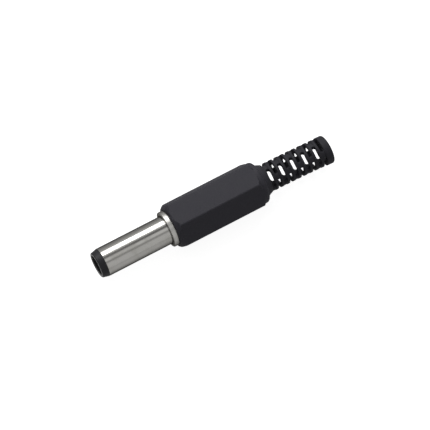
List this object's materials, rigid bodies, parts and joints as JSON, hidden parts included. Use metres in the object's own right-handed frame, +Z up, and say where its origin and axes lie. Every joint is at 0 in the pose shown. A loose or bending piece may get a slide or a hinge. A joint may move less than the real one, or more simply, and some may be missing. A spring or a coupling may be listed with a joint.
{
  "type": "dc barrel plug",
  "caption": "Straight dc power plug with a plated barrel and collar, a hexagonal screw-on handle and a slotted tubular strain relief at its cable end.",
  "frame": {"origin": "on the plug's axis, at the front face of the collar, where the barrel starts", "axes": "+X along the barrel towards the tip, +Z up, square to the handle flat that the plug lies on"},
  "size_m": [0.0486, 0.0094, 0.0082],
  "materials": {
    "plated_metal": "bright nickel plating on turned brass",
    "black_insulator": "black moulded plastic with a soft sheen",
    "contact_metal": "nickel-plated spring brass",
    "tinned_sheet": "tinned brass sheet, satin",
    "fibre_washer": "brown laminated insulating board",
    "handle_plastic": "charcoal moulded plastic with a fine eroded texture"
  },
  "bodies": {
    "core": {"sleeve": "plated_metal", "nose_insulator": "black_insulator", "centre_contact": "contact_metal", "sleeve_terminal": "tinned_sheet", "rear_insulator": "fibre_washer", "centre_terminal": "tinned_sheet"},
    "shell": {"handle": "handle_plastic"}
  },
  "joints": [
    {"name": "handle_slide", "type": "slide", "parent": "core", "child": "shell", "axis": [-1, 0, 0], "range_m": [0, 0.02]}
  ]
}
